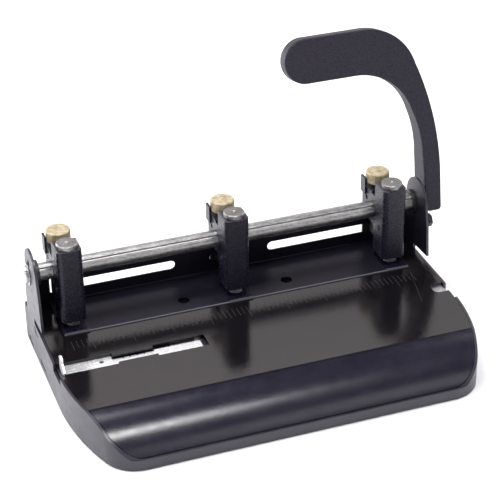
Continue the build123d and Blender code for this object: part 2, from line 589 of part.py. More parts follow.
def make_head(x, name):
    """The cast head: pin column over the throat, pinion chamber, spine, foot and clamping lug."""
    half = HEAD_HALF_WIDTH
    with BuildPart() as head_body:
        with BuildSketch(side_plane(x - half)):
            with BuildLine():
                Polyline((COLUMN_FRONT_Y, THROAT_TOP), (COLUMN_FRONT_Y, HEAD_TOP), (COLUMN_REAR_Y, HEAD_TOP),
                         (COLUMN_REAR_Y, VALLEY_Z), (LUG_FRONT_Y, VALLEY_Z), (LUG_FRONT_Y, LUG_TOP),
                         (LUG_REAR_Y, LUG_TOP), (LUG_REAR_Y, LUG_BOTTOM), (HEAD_REAR_Y, LUG_BOTTOM),
                         (HEAD_REAR_Y, CHEEK_BOTTOM), (SPINE_Y[1], CHEEK_BOTTOM), (SPINE_Y[1], FOOT_Z[0]),
                         (SPINE_Y[0], FOOT_Z[0]), (SPINE_Y[0], THROAT_TOP), close=True)
            make_face()
        extrude(amount=2 * half)
        fillet(head_body.edges().filter_by(Axis.Z).group_by(Axis.Y)[0], COLUMN_ROUND)
        chamfer(head_body.faces().sort_by(Axis.Z)[-1].edges().sort_by(Axis.Y)[:3], 0.7)
        block((x - half + 0.4, x + half), (BRIDGE_FRONT_Y, SPINE_Y[1]), FOOT_Z)
        # a guard tab beside the thumb screw
        block((x - half - 1.4, x - half + 0.1), (LUG_REAR_Y - 7, LUG_REAR_Y), (LUG_TOP - 6, LUG_TOP + 5.4))
        # the ram's bore and the cutter's guide
        with BuildSketch(Plane.XY.offset(HEAD_TOP + 1)):
            with Locations((x, 0)):
                Circle(RAM_RADIUS + SLIDE_FIT)
        extrude(amount=BORE_FLOOR - HEAD_TOP - 1, mode=Mode.SUBTRACT)
        with BuildSketch(Plane.XY.offset(BORE_FLOOR)):
            with Locations((x, 0)):
                Circle(CUTTER_RADIUS + SLIDE_FIT)
        extrude(amount=THROAT_TOP - BORE_FLOOR - 1, mode=Mode.SUBTRACT)
        with BuildSketch(Plane.XY.offset(FOOT_Z[0] - 1)):
            with Locations((x, 0)):
                Circle(INSERT_RADIUS + 0.1)
        extrude(amount=FOOT_Z[1] - FOOT_Z[0] + 2, mode=Mode.SUBTRACT)
        # the pinion's chamber, wide where the toothed sector swings
        with BuildSketch(SHAFT_AXIS.offset(x - CHAMBER_HALF)):
            Circle(TIP_RADIUS + 0.6)
            with Locations((TIP_RADIUS + 5.5, 0)):
                Rectangle(20, 30, mode=Mode.SUBTRACT)
            Circle(HUB_RADIUS + 0.35)
        extrude(amount=2 * CHAMBER_HALF, mode=Mode.SUBTRACT)
        with BuildSketch(SHAFT_AXIS.offset(x - half)):
            Circle(SHAFT_RADIUS + SLIDE_FIT)
        extrude(amount=2 * half, mode=Mode.SUBTRACT)
        with BuildSketch(Plane.XY.offset(LUG_TOP)):
            with Locations((x, THUMB_Y)):
                Circle(THUMB_SHANK_RADIUS + SLIDE_FIT)
        extrude(amount=SHOE_TOP - LUG_TOP, mode=Mode.SUBTRACT)
        # the clamp shoe's pocket, open below and to the rear
        pocket_y = (SHOE_FRONT_Y - 0.2, HEAD_REAR_Y + 0.2)
        block((x - 3.3, x + 3.3), pocket_y, (CHEEK_BOTTOM - 1, SHOE_TOP + 0.1), Mode.SUBTRACT)
        # the small hole and the side screw's seat in the left cheek
        with BuildSketch(side_plane(x - half)):
            with Locations(SIDE_HOLE):
                Circle(1.7)
            with Locations(SIDE_SCREW):
                Circle(1.6)
        extrude(amount=1.2, mode=Mode.SUBTRACT)
    save(head_body, f"head_body_{name}")


def make_pin(x, name):
    """The punch pin: a stout ram with rack teeth at its back, and the slimmer cutter below it."""
    rack_y = SHAFT_Y - PITCH_RADIUS
    rack_face = rack_y + RACK_ADDENDUM + 0.1
    with BuildPart() as punch_pin:
        with BuildSketch(Plane.XY.offset(RAM_BOTTOM)):
            with Locations((x, 0)):
                Circle(RAM_RADIUS)
        extrude(amount=RAM_TOP - RAM_BOTTOM)
        chamfer(punch_pin.faces().sort_by(Axis.Z)[-1].edges(), 0.6)
        with BuildSketch(Plane.XY.offset(CUTTER_END)):
            with Locations((x, 0)):
                Circle(CUTTER_RADIUS)
        extrude(amount=RAM_BOTTOM - CUTTER_END)
        with Locations((x, 0, RAM_TOP - 0.6)):
            Cone(0.0, 1.5, 1.3, mode=Mode.SUBTRACT)
        # rack: a flat back with straight-sided grooves at the pinion's pitch
        block((x - 8, x + 8), (rack_y + RACK_ADDENDUM, 8), (RAM_BOTTOM - 0.5, HEAD_TOP - 3), Mode.SUBTRACT)
        with BuildSketch(side_plane(x - 8)):
            for groove in range(-1, 5):
                z = SHAFT_Z + (groove + 0.5) * TOOTH_PITCH
                tip_half = TOOTH_PITCH / 4 + BACKLASH / 2 + RACK_ADDENDUM * tan(PRESSURE_ANGLE)
                root_half = TOOTH_PITCH / 4 + BACKLASH / 2 - RACK_DEDENDUM * tan(PRESSURE_ANGLE)
                with BuildLine():
                    Polyline((rack_face, z - tip_half), (rack_face, z + tip_half),
                             (rack_y - RACK_DEDENDUM, z + root_half),
                             (rack_y - RACK_DEDENDUM, z - root_half), close=True)
                make_face()
        extrude(amount=16, mode=Mode.SUBTRACT)
        # the cutting end is hollowed to a shallow V, so that it shears
        with BuildSketch(side_plane(x - 8)):
            with BuildLine():
                Polyline((-CUTTER_RADIUS, CUTTER_END), (0, CUTTER_END + 1.4),
                         (CUTTER_RADIUS, CUTTER_END), close=True)
            make_face()
        extrude(amount=16, mode=Mode.SUBTRACT)
    save(punch_pin, f"punch_pin_{name}")


def make_spring(x, name):
    """The compression spring that lifts the pin again."""
    wire = 0.4
    low = BORE_FLOOR + wire + 0.1
    high = RAM_BOTTOM - wire - 0.1
    with BuildPart() as pin_spring:
        with BuildLine() as coil:
            Helix(pitch=(high - low) / 4, height=high - low, radius=5.0, center=(x, 0, low))
        with BuildSketch(Plane(coil.line @ 0, z_dir=coil.line % 0)):
            Circle(wire)
        sweep(path=coil.line)
    save(pin_spring, f"pin_spring_{name}")


def make_thumb_screw(x, name):
    """The knurled thumb screw that presses on the clamp shoe and so fixes the head."""
    with BuildPart() as thumb_screw:
        with BuildSketch(Plane.XY.offset(THUMB_Z[0])):
            with Locations((x, THUMB_Y)):
                Circle(THUMB_RADIUS)
        extrude(amount=THUMB_Z[1] - THUMB_Z[0])
        chamfer(thumb_screw.faces().sort_by(Axis.Z)[-1].edges(), 0.6)
        chamfer(thumb_screw.faces().sort_by(Axis.Z)[0].edges(), 0.6)
        with BuildSketch(Plane.XY.offset(LUG_TOP + 0.1)):
            with Locations((x, THUMB_Y)):
                Circle(THUMB_NECK_RADIUS)
        extrude(amount=THUMB_Z[0] - LUG_TOP)
        with BuildSketch(Plane.XY.offset(SHOE_TOP + 0.05)):
            with Locations((x, THUMB_Y)):
                Circle(THUMB_SHANK_RADIUS)
        extrude(amount=THUMB_Z[0] - SHOE_TOP)
    save(thumb_screw, f"thumb_screw_{name}")


def make_clamp_shoe(x, name):
    """The shoe in the head's rear pocket: its stud runs in the wall's slot, its flange behind the wall."""
    inward = -1 if x > 0 else 1
    inner, outer = SHOE_FLANGE
    flange_x = sorted((x + inward * inner, x - inward * (outer if x else inner)))
    web = CLAMP_SLOT_HEIGHT / 2 - 0.3
    flange_y = BRIDGE_REAR_Y + 0.2
    with BuildPart() as clamp_shoe:
        block((x - 3, x + 3), (SHOE_FRONT_Y, HEAD_REAR_Y - 0.2), (CLAMP_SLOT_Z - web, SHOE_TOP))
        with BuildSketch(Plane.XZ.offset(-flange_y - 1)):
            with Locations((x, CLAMP_SLOT_Z)):
                Circle(web)
        extrude(amount=flange_y + 1 - HEAD_REAR_Y + 0.6)
        block(flange_x, (flange_y, flange_y + 2.0), (CLAMP_SLOT_Z - 5.4, CLAMP_SLOT_Z + 5.4))
        chamfer(clamp_shoe.faces().sort_by(Axis.Y)[-1].edges(), 0.5)
    save(clamp_shoe, f"clamp_shoe_{name}")


def make_small_hardware(x, name):
    """The side screw in the head's left cheek and the die insert below the pin."""
    with BuildPart() as side_screw:
        with BuildSketch(side_plane(x - HEAD_HALF_WIDTH - 0.5)):
            with Locations(SIDE_SCREW):
                Circle(1.55)
        extrude(amount=1.6)
        with BuildSketch(side_plane(x - HEAD_HALF_WIDTH - 0.5)):
            with Locations(SIDE_SCREW):
                Rectangle(4, 0.5)
        extrude(amount=0.6, mode=Mode.SUBTRACT)
    save(side_screw, f"side_screw_{name}")
    with BuildPart() as die_insert:
        with BuildSketch(Plane.XY.offset(DIE_TOP - DIE_BAR[2] + DIE_RELIEF[1])):
            with Locations((x, 0)):
                Circle(INSERT_RADIUS)
                Circle(DIE_HOLE_RADIUS, mode=Mode.SUBTRACT)
        extrude(amount=BRIDGE_FLAT - DIE_TOP + DIE_BAR[2] - DIE_RELIEF[1])
    save(die_insert, f"die_insert_{name}")


for place, name in ((-HOLE_PITCH, "left"), (0.0, "centre"), (HOLE_PITCH, "right")):
    make_head(place, name)
    make_pin(place, name)
    make_pinion(place, name)
    make_spring(place, name)
    make_thumb_screw(place, name)
    make_clamp_shoe(place, name)
    make_small_hardware(place, name)

# ---------------------------------------------------------------- paper stop
CHANNEL_SHEET = 1.1
CHANNEL_Y = (-56.0, -37.6)
CHANNEL_X = (-128.6, -33.6)
CHANNEL_FLOOR = STRIP_Z - 0.1 - CHANNEL_SHEET
TAB_X = -126.9
TAB_SHEET = 1.1
TAB_TOP = TABLE_TOP + 8.0
STRIP_STEPS = ((-94.8, -40.6), (-68.2, -44.4), (-38.4, -42.9))
STRIP_MARKS = (-109.9, -55.3, -43.4)

with BuildPart() as gauge_channel:
    block(CHANNEL_X, CHANNEL_Y, (CHANNEL_FLOOR, DIE_TOP))
    block((CHANNEL_X[0] - 1, CHANNEL_X[1] - CHANNEL_SHEET),
          (CHANNEL_Y[0] + CHANNEL_SHEET, CHANNEL_Y[1] - CHANNEL_SHEET),
          (CHANNEL_FLOOR + CHANNEL_SHEET, DIE_TOP + 1), Mode.SUBTRACT)
save(gauge_channel, "gauge_channel")

with BuildPart() as paper_gauge:
    # the strip, stepped along its rear edge
    left = TAB_X
    for right, rear in STRIP_STEPS:
        block((left, right), (STRIP_FRONT_Y, rear), (STRIP_Z, STRIP_Z + STRIP_SHEET))
        left = right
    # graduation notches in its rear edge
    for notch in range(4):
        notch_x = -88.6 + 4.5 * notch
        block((notch_x, notch_x + 1), (-45.4, -43.0), (STRIP_Z - 1, STRIP_Z + 2), Mode.SUBTRACT)
    # fine lines cut across its top
    for mark_x in STRIP_MARKS:
        block((mark_x, mark_x + 0.35), (-55.0, -40.0), (STRIP_Z + STRIP_SHEET - 0.3, STRIP_Z + 2), Mode.SUBTRACT)
    with Locations((-101.7, -44.6, STRIP_Z)):
        Cylinder(1.5, 5, mode=Mode.SUBTRACT)
    # the upturned tab that the paper's edge is set against, highest at its rear
    with BuildSketch(side_plane(TAB_X)):
        with BuildLine():
            Polyline((-40.9, STRIP_Z), (-40.9, TAB_TOP - 4))
            ThreePointArc((-40.9, TAB_TOP - 4), (-44.2, TAB_TOP), (-48.0, TAB_TOP - 3.4))
            Polyline((-48.0, TAB_TOP - 3.4), (-52.4, TABLE_TOP + 0.6), (-52.4, STRIP_Z), (-40.9, STRIP_Z))
        make_face()
    extrude(amount=TAB_SHEET)
save(paper_gauge, "paper_gauge")

with BuildPart() as gauge_spring:
    # a leaf that rubs on the strip's end and is riveted to the channel's floor
    block((-57.0, -37.0), (-42.6, -39.4), (STRIP_Z - 0.1, STRIP_Z + 0.3))
    with Locations((-40.0, -41.0, STRIP_Z + 0.7)):
        Cylinder(1.3, 0.9)
save(gauge_spring, "gauge_spring")

# ---------------------------------------------------------------- plated plate under the finger notch
with BuildPart() as notch_plate:
    notch_y = (THUMB_NOTCH_Y[0] - 2.2, THUMB_NOTCH_Y[1] + 2.2)
    block((THUMB_NOTCH_X - 2.0, 128.3), notch_y, (DIE_TOP - 1.1, DIE_TOP))
save(notch_plate, "notch_plate")
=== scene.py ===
"""Looks for the three hole punch: materials, fine detail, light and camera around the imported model."""
import bpy
import bmesh
import json
import math
from mathutils import Matrix, Vector


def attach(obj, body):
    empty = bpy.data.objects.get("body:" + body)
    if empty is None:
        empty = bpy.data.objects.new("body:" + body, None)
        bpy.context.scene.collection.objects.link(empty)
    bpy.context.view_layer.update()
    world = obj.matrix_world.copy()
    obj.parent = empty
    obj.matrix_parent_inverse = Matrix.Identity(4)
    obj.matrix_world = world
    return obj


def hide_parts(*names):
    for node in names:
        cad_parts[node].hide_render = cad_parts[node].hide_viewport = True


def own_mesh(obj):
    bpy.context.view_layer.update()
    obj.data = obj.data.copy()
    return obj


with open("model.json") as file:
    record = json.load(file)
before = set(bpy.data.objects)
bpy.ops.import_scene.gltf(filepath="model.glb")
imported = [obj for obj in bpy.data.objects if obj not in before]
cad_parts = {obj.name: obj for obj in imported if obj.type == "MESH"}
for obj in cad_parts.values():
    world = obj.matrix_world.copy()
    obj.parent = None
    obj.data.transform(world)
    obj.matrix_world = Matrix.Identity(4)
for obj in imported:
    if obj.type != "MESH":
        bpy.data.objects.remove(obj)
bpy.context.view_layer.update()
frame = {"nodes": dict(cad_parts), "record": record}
SIDES = ("left", "centre", "right")
HEAD_BODY = {"left": "left_head", "centre": "base", "right": "right_head"}


# ---------------------------------------------------------------- materials
# the bridge's front edge in the punch's own frame, and how far the painted highlight along it runs to
# each side of it: the light that the edge catches is painted into the colour
HIGHLIGHT_EDGE_Y = -0.0119
HIGHLIGHT_SPREAD = 0.0001
HIGHLIGHT_SHARE = 0.9
PAINTED_HIGHLIGHT_COLOUR = (0.15, 0.15, 0.165)
# where the table's front starts to roll over, and where it is wholly rolled
ROLL_START_Y = -0.0915
ROLL_END_Y = -0.0950
ROLL_DULLNESS = 0.13
# noise scales and bump heights of sprayed enamel, from its dust up to its orange peel
DUST_SCALE = 2600
DUST_HEIGHT = 0.00002
GRAIN_SCALE = 1100
GRAIN_HEIGHT = 0.00004
TABLE_GRAIN_HEIGHT = 0.00005
PEEL_SCALE = 420
PEEL_HEIGHT = 0.00008
CLOUD_SCALE = 60
GLOSS_SCALE = 140
# a cast surface's finer grain, against its coarse one
CAST_FINE_SCALE = 3.1
CAST_FINE_HEIGHT = 0.35
# steel: the size of its blotches, the shares of streak and blotch, and the streaks' height
BLOTCH_SCALE = 150
STREAK_SHARE = 0.7
BLOTCH_SHARE = 0.3
STREAK_HEIGHT = 0.00003


class Mat:
    """A small helper that builds one node material step by step."""

    def __init__(self, name):
        self.material = bpy.data.materials.new(name)
        self.material.use_nodes = True
        self.tree = self.material.node_tree
        self.nodes = self.tree.nodes
        self.bsdf = self.nodes["Principled BSDF"]
        self.coords = self.nodes.new("ShaderNodeTexCoord").outputs["Object"]

    def set(self, **values):
        for name, value in values.items():
            self.bsdf.inputs[name].default_value = value

    def link(self, out, socket):
        self.tree.links.new(out, socket)

    def stretched(self, scale):
        node = self.nodes.new("ShaderNodeMapping")
        node.inputs["Scale"].default_value = scale
        self.link(self.coords, node.inputs["Vector"])
        return node.outputs["Vector"]

    def noise(self, scale, detail, rough, vector=None):
        node = self.nodes.new("ShaderNodeTexNoise")
        node.inputs["Scale"].default_value = scale
        node.inputs["Detail"].default_value = detail
        node.inputs["Roughness"].default_value = rough
        self.link(vector or self.coords, node.inputs["Vector"])
        return node.outputs["Fac"]

    def ramp(self, fac, stops):
        node = self.nodes.new("ShaderNodeValToRGB")
        elements = node.color_ramp.elements
        while len(elements) > 1:
            elements.remove(elements[-1])
        elements[0].position, elements[0].color = stops[0][0], tuple(stops[0][1]) + (1,)
        for position, colour in stops[1:]:
            elements.new(position).color = tuple(colour) + (1,)
        self.link(fac, node.inputs["Fac"])
        return node.outputs["Color"]

    def spread(self, fac, low, high, start=0.0, stop=1.0):
        node = self.nodes.new("ShaderNodeMapRange")
        for name, value in (("From Min", start), ("From Max", stop), ("To Min", low), ("To Max", high)):
            node.inputs[name].default_value = value
        self.link(fac, node.inputs["Value"])
        return node.outputs["Result"]

    def mix(self, fac, a, b):
        node = self.nodes.new("ShaderNodeMix")
        node.data_type = "RGBA"
        self.link(fac, node.inputs["Factor"])
        for socket, value in ((node.inputs[6], a), (node.inputs[7], b)):
            if isinstance(value, tuple):
                socket.default_value = value + (1,)
            else:
                self.link(value, socket)
        return node.outputs[2]

    def math(self, operation, a, b):
        node = self.nodes.new("ShaderNodeMath")
        node.operation = operation
        for socket, value in ((node.inputs[0], a), (node.inputs[1], b)):
            if isinstance(value, (int, float)):
                socket.default_value = value
            else:
                self.link(value, socket)
        return node.outputs[0]

    def bump(self, height, distance, strength=1.0, under=None):
        node = self.nodes.new("ShaderNodeBump")
        node.inputs["Strength"].default_value = strength
        node.inputs["Distance"].default_value = distance
        self.link(height, node.inputs["Height"])
        if under is not None:
            self.link(under, node.inputs["Normal"])
        self.link(node.outputs["Normal"], self.bsdf.inputs["Normal"])
        return node.outputs["Normal"]

    def place_y(self):
        """The shaded point's place along Y."""
        split = self.nodes.new("ShaderNodeSeparateXYZ")
        self.link(self.coords, split.inputs["Vector"])
        return split.outputs["Y"]

    def painted_front_highlight(self, paint_colour):
        """Paints a lighter line along the bridge's front edge, where the paper is pushed in: a painted
        highlight standing in for the light that the edge catches.
        """
        front = HIGHLIGHT_EDGE_Y - HIGHLIGHT_SPREAD
        back = HIGHLIGHT_EDGE_Y + HIGHLIGHT_SPREAD
        lit_edge = self.spread(self.place_y(), HIGHLIGHT_SHARE, 0.0, front, back)
        return self.mix(lit_edge, paint_colour, PAINTED_HIGHLIGHT_COLOUR)

    def colour(self, out):
        self.link(out, self.bsdf.inputs["Base Color"])

    def rough(self, out):
        self.link(out, self.bsdf.inputs["Roughness"])


def gloss_enamel(name, dark, light, rough_low, rough_high, peel, shine=0.5, wear_and_edge_highlight=False):
    """Sprayed black enamel: faint mottling, an uneven gloss, dust and orange peel."""
    mat = Mat(name)
    cloud = mat.noise(CLOUD_SCALE, 4, 0.6)
    enamel = mat.ramp(cloud, ((0.3, dark), (0.7, light)))
    # with the flag set, the front edge gets a painted highlight: a lighter line standing in for the
    # light that the edge catches
    mat.colour(mat.painted_front_highlight(enamel) if wear_and_edge_highlight else enamel)
    mat.rough(mat.spread(mat.noise(GLOSS_SCALE, 4, 0.65), rough_low, rough_high, 0.3, 0.7))
    mat.set(IOR=1.52)
    mat.bsdf.inputs["Specular IOR Level"].default_value = shine
    dust = mat.bump(mat.noise(DUST_SCALE, 2, 0.5), DUST_HEIGHT, peel)
    grain = mat.bump(mat.noise(GRAIN_SCALE, 3, 0.6), GRAIN_HEIGHT, peel, dust)
    mat.bump(mat.noise(PEEL_SCALE, 2, 0.5), PEEL_HEIGHT, peel, grain)
    return mat.material


def sheet_enamel(name):
    """The table's black enamel: glossy on the flat, less glossy on the rolled front, whose colour is
    painted bluer and lighter as a painted reflection of the dim bluish light above it.
    """
    mat = Mat(name)
    roll = mat.spread(mat.place_y(), 1.0, 0.0, ROLL_END_Y, ROLL_START_Y)
    cloud = mat.noise(CLOUD_SCALE, 4, 0.6)
    flat = mat.ramp(cloud, ((0.3, (0.003, 0.0025, 0.003)), (0.7, (0.006, 0.005, 0.006))))
    # the rolled front's colour is a painted reflection: the same enamel, painted bluer and lighter than
    # on the flat
    front = mat.ramp(cloud, ((0.3, (0.006, 0.005, 0.012)), (0.7, (0.010, 0.009, 0.018))))
    mat.colour(mat.mix(roll, flat, front))
    gloss = mat.spread(mat.noise(GLOSS_SCALE, 4, 0.65), 0.07, 0.13, 0.3, 0.7)
    mat.rough(mat.math("ADD", gloss, mat.math("MULTIPLY", roll, ROLL_DULLNESS)))
    mat.set(IOR=1.52)
    dust = mat.bump(mat.noise(DUST_SCALE, 2, 0.5), DUST_HEIGHT, 0.3)
    grain = mat.bump(mat.noise(GRAIN_SCALE, 3, 0.6), TABLE_GRAIN_HEIGHT, 0.5, dust)
    mat.bump(mat.noise(PEEL_SCALE, 2, 0.5), PEEL_HEIGHT, 0.3, grain)
    return mat.material


def cast_enamel(name, dark, light, rough_low, rough_high, grain, height, shine=0.5, wear_and_edge_highlight=False):
    """Black enamel over a grainy surface, a little lighter on its high spots."""
    mat = Mat(name)
    speck = mat.noise(grain, 3, 0.6)
    enamel = mat.ramp(speck, ((0.32, dark), (0.6, light), (0.82, tuple(2.0 * c for c in light))))
    # with the flag set, the front edge gets a painted highlight: a lighter line standing in for the
    # light that the edge catches
    mat.colour(mat.painted_front_highlight(enamel) if wear_and_edge_highlight else enamel)
    mat.rough(mat.spread(speck, rough_low, rough_high, 0.3, 0.7))
    mat.set(IOR=1.5)
    mat.bsdf.inputs["Specular IOR Level"].default_value = shine
    fine = mat.bump(mat.noise(grain * CAST_FINE_SCALE, 2, 0.6), height * CAST_FINE_HEIGHT)
    mat.bump(speck, height, 1.0, fine)
    return mat.material


def steel(name, dark, light, rough_low, rough_high, stretch, scale=900, metallic=1.0):
    """Machined steel: grain that can be stretched into streaks, and blotches of oil and dullness."""
    mat = Mat(name)
    streak = mat.noise(scale, 4, 0.7, mat.stretched(stretch))
    blotch = mat.noise(BLOTCH_SCALE, 3, 0.6)
    streak_part = mat.math("MULTIPLY", streak, STREAK_SHARE)
    both = mat.math("ADD", streak_part, mat.math("MULTIPLY", blotch, BLOTCH_SHARE))
    mat.colour(mat.ramp(both, ((0.35, dark), (0.62, light))))
    mat.rough(mat.spread(both, rough_low, rough_high, 0.35, 0.65))
    mat.set(Metallic=metallic)
    mat.bump(streak, STREAK_HEIGHT, 0.6)
    return mat.material


def knurled_brass(name):
    """Pale lacquered brass with a blotchy, rather dull finish."""
    mat = Mat(name)
    blotch = mat.noise(300, 4, 0.6)
    stops = ((0.3, (0.30, 0.24, 0.14)), (0.5, (0.46, 0.39, 0.25)), (0.7, (0.58, 0.51, 0.36)))
    mat.colour(mat.ramp(blotch, stops))
    mat.rough(mat.spread(mat.noise(900, 3, 0.6), 0.42, 0.62, 0.3, 0.7))
    mat.set(Metallic=0.35)
    mat.bump(mat.noise(2200, 2, 0.6), 0.00006, 0.8)
    return mat.material


def scale_ink(name):
    """Thin dark grey print, rubbed thin in places."""
    mat = Mat(name)
    wear_and_edge_highlight = mat.noise(700, 3, 0.7)
    mat.colour(mat.ramp(wear_and_edge_highlight, ((0.35, (0.010, 0.009, 0.010)), (0.65, (0.030, 0.028, 0.030)))))
    mat.rough(mat.spread(wear_and_edge_highlight, 0.5, 0.7))
    return mat.material


MATERIALS = {
    "frame_paint": gloss_enamel(
        "frame_paint", (0.011, 0.009, 0.018), (0.017, 0.015, 0.026), 0.30, 0.42, 0.5, 0.65),
    "table_paint": sheet_enamel("table_paint"),
    # the plate's last argument gives it the painted highlight along its front edge
    "plate_paint": gloss_enamel(
        "plate_paint", (0.005, 0.005, 0.009), (0.009, 0.008, 0.014), 0.30, 0.42, 0.5, 0.2, True),
    "drawer_paint": gloss_enamel(
        "drawer_paint", (0.010, 0.010, 0.012), (0.017, 0.017, 0.019), 0.3, 0.45, 0.5, 0.4),
    # the heads' last argument gives their feet the same painted highlight along the front edge
    "head_paint": cast_enamel(
        "head_paint", (0.001, 0.001, 0.004), (0.007, 0.006, 0.016), 0.18, 0.36, 1100, 0.0003, 0.4, True),
    "handle_paint": cast_enamel(
        "handle_paint", (0.005, 0.004, 0.010), (0.021, 0.018, 0.029), 0.40, 0.58, 1000, 0.0003, 0.35),
    "mat_rubber": cast_enamel(
        "mat_rubber", (0.016, 0.016, 0.016), (0.028, 0.028, 0.028), 0.7, 0.9, 900, 0.0002),
    "bushing_black": gloss_enamel(
        "bushing_black", (0.010, 0.010, 0.012), (0.018, 0.018, 0.02), 0.35, 0.5, 0.6),
    "black_hardware": gloss_enamel(
        "black_hardware", (0.012, 0.011, 0.012), (0.026, 0.024, 0.025), 0.3, 0.5, 0.6),
    "shaft_steel": steel(
        "shaft_steel", (0.26, 0.255, 0.25), (0.58, 0.57, 0.55), 0.30, 0.46, (0.4, 1, 1), 1100),
    "pinion_steel": steel(
        "pinion_steel", (0.26, 0.25, 0.24), (0.46, 0.45, 0.43), 0.3, 0.5, (0.2, 1, 1)),
    "spring_steel": steel(
        "spring_steel", (0.3, 0.29, 0.28), (0.55, 0.54, 0.52), 0.25, 0.4, (1, 1, 1)),
    "die_steel": steel(
        "die_steel", (0.07, 0.07, 0.075), (0.15, 0.145, 0.15), 0.35, 0.55, (0.1, 1, 1)),
    "plated_steel": steel(
        "plated_steel", (0.5, 0.5, 0.51), (0.72, 0.72, 0.73), 0.28, 0.42, (0.3, 1, 1)),
    "bright_plate": steel(
        "bright_plate", (0.78, 0.78, 0.78), (0.93, 0.93, 0.92), 0.2, 0.32, (0.2, 1, 1), 600, 0.6),
    # near-white and barely metallic: the polished bore's bright reflection is painted into the die lip's
    # colour, so the bore shows as a bright crescent
    "die_lip": steel(
        "die_lip", (0.84, 0.84, 0.82), (0.94, 0.94, 0.92), 0.3, 0.45, (1, 1, 1), 700, 0.1),
    "pin_steel": steel(
        "pin_steel", (0.05, 0.05, 0.048), (0.40, 0.385, 0.375), 0.28, 0.5, (1, 1, 1), 1300, 0.9),
    "knob_brass": knurled_brass("knob_brass"),
    "scale_ink": scale_ink("scale_ink"),
}


def paint(obj, slot):
    """Gives an object one material."""
    obj.data.materials.clear()
    obj.data.materials.append(MATERIALS[slot])


for entry in frame["record"]["subparts"]:
    paint(frame["nodes"][entry["node"]], entry["material_slot"])
for side in SIDES:
    paint(frame["nodes"][f"punch_pin_{side}"], "pin_steel")
    paint(frame["nodes"][f"die_insert_{side}"], "die_lip")


def new_piece(name, mesh, body, slot, look=None):
    """Links a new mesh object that rides on a body and takes one material."""
    piece = bpy.data.objects.new(name, mesh)
    bpy.context.collection.objects.link(piece)
    paint(piece, look or slot)
    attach(piece, body)
    return piece


# ---------------------------------------------------------------- knurled thumb screws
HOLE_PITCH = 0.10795
HEAD_X = {"left": -HOLE_PITCH, "centre": 0.0, "right": HOLE_PITCH}
THUMB_Y = 0.0233
KNURL_TEETH = 46
KNURL_DEPTH = 0.00035
# how deep each of a tooth's four points lies, as a share of the knurl's depth
KNURL_SHAPE = (0.0, 0.35, 1.0, 0.35)
KNOB_RADIUS = 0.0078
SHANK_RADIUS = 0.0018
# height, radius and whether the ring is knurled, from the top of the knob down to the end of the shank
KNOB_PROFILE = (
    (0.08310, 0.0, 0), (0.08280, 0.0030, 0), (0.08302, 0.0042, 0), (0.08310, 0.0066, 0),
    (0.08268, 0.0074, 0), (0.08220, KNOB_RADIUS, 1), (0.07950, KNOB_RADIUS, 1),
    (0.07640, KNOB_RADIUS, 1), (0.07570, 0.0073, 0), (0.07495, 0.0066, 0), (0.07490, 0.0041, 0),
    (0.07380, 0.0041, 0), (0.07370, SHANK_RADIUS, 0), (0.05610, SHANK_RADIUS, 0), (0.05605, 0.0, 0),
)


def knurled_knob(side):
    """A thumb screw with an upright knurl, in the place of the plain one."""
    mesh = bpy.data.meshes.new(f"knurled_knob_{side}")
    build = bmesh.new()
    count = KNURL_TEETH * len(KNURL_SHAPE)
    rings = []
    for z, radius, knurled in KNOB_PROFILE:
        ring = []
        for step in range(count):
            angle = 2 * math.pi * step / count
            dip = KNURL_DEPTH * KNURL_SHAPE[step % len(KNURL_SHAPE)] if knurled else 0.0
            reach = radius - dip
            place = (HEAD_X[side] + reach * math.cos(angle), THUMB_Y + reach * math.sin(angle), z)
            ring.append(build.verts.new(place))
            if radius == 0.0:
                break
        rings.append(ring)
    for upper, lower in zip(rings, rings[1:]):
        for step in range(count):
            corners = [upper[step % len(upper)], lower[step % len(lower)],
                       lower[(step + 1) % len(lower)], upper[(step + 1) % len(upper)]]
            build.faces.new(list(dict.fromkeys(corners)))
    build.to_mesh(mesh)
    build.free()
    piece = new_piece(f"knurled_knob_{side}", mesh, f"{side}_thumb_screw", "knob_brass")
    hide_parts(f"thumb_screw_{side}")


for side in SIDES:
    knurled_knob(side)


def coil_spring(side):
    """A pin's return spring, which the pin presses down as it goes; here it rides fixed on its head and
    does not shorten.
    """
    node = frame["nodes"][f"pin_spring_{side}"]
    mesh = node.data.copy()
    mesh.transform(node.matrix_world)
    piece = new_piece(f"coil_spring_{side}", mesh, HEAD_BODY[side], "spring_steel")
    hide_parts(f"pin_spring_{side}")
    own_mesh(piece)


for side in SIDES:
    coil_spring(side)

# ---------------------------------------------------------------- printed paper scale on the table
PRINT_Z = 0.02703
EIGHTH = 0.003175
SCALE_REAR_Y = -0.0195
# the tick of a whole inch, then the seven eighths that follow it
TICK_LENGTHS = (0.0130, 0.0084, 0.0088, 0.0084, 0.0102, 0.0084, 0.0088, 0.0084)
TICK_WIDTH = 0.00032
SCALE_HALF_COUNT = 36


def print_bars(name, bars):
    """Flat print on the table: every bar is a short line from one point to another."""
    points = []
    faces = []
    for (x0, y0), (x1, y1), width in bars:
        length = math.hypot(x1 - x0, y1 - y0)
        side_x = -(y1 - y0) / length * width / 2
        side_y = (x1 - x0) / length * width / 2
        start = len(points)
        points += [(x0 + side_x, y0 + side_y, PRINT_Z), (x0 - side_x, y0 - side_y, PRINT_Z),
                   (x1 - side_x, y1 - side_y, PRINT_Z), (x1 + side_x, y1 + side_y, PRINT_Z)]
        faces.append((start, start + 1, start + 2, start + 3))
    mesh = bpy.data.meshes.new(name)
    mesh.from_pydata(points, [], faces)
    new_piece(name, mesh, "base", "table_paint", "scale_ink")


